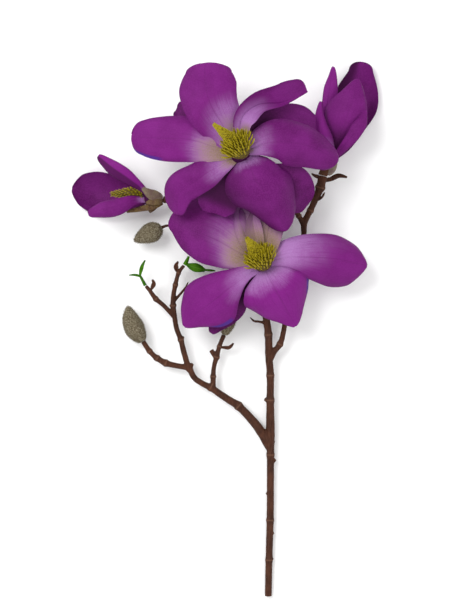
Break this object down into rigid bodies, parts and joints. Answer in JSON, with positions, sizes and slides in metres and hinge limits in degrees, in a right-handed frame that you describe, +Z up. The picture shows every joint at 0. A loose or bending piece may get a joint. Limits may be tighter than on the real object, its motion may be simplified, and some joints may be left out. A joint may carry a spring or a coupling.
{
  "type": "magnolia branch",
  "caption": "Cut magnolia branch lying on its back: open purple blooms with stamen cones, a side bloom, an upright bloom, furry buds and green shoots on a brown stem.",
  "frame": {"origin": "centre of the bounding box's base, on the surface that the branch lies on", "axes": "+Y runs along the main stem from its cut end to the blooms, +X is to the right of the stem seen from above, +Z is up, the way the open blooms face"},
  "size_m": [0.2855, 0.498, 0.1069],
  "materials": {
    "bark": "matte bark",
    "upper_petals": "satin",
    "upper_stamens": "matte",
    "lower_petals": "satin",
    "lower_stamens": "matte",
    "left_bloom_petals": "satin",
    "left_bloom_stamens": "matte",
    "left_bloom_calyx": "matte",
    "right_bloom_petals": "satin",
    "right_bloom_stamens": "matte",
    "right_bloom_calyx": "matte",
    "bud_by_left_bloom": "fuzzy",
    "bud_low_left": "fuzzy",
    "bud_middle": "fuzzy",
    "left_green_shoot": "satin",
    "right_green_shoot": "satin"
  },
  "bodies": {
    "root": {"branch": "bark", "upper_petals": "upper_petals", "upper_stamens": "upper_stamens", "lower_petals": "lower_petals", "lower_stamens": "lower_stamens", "left_bloom_petals": "left_bloom_petals", "left_bloom_stamens": "left_bloom_stamens", "left_bloom_calyx": "left_bloom_calyx", "right_bloom_petals": "right_bloom_petals", "right_bloom_stamens": "right_bloom_stamens", "right_bloom_calyx": "right_bloom_calyx", "bud_by_left_bloom": "bud_by_left_bloom", "bud_low_left": "bud_low_left", "bud_middle": "bud_middle", "left_green_shoot": "left_green_shoot", "right_green_shoot": "right_green_shoot"}
  },
  "joints": []
}
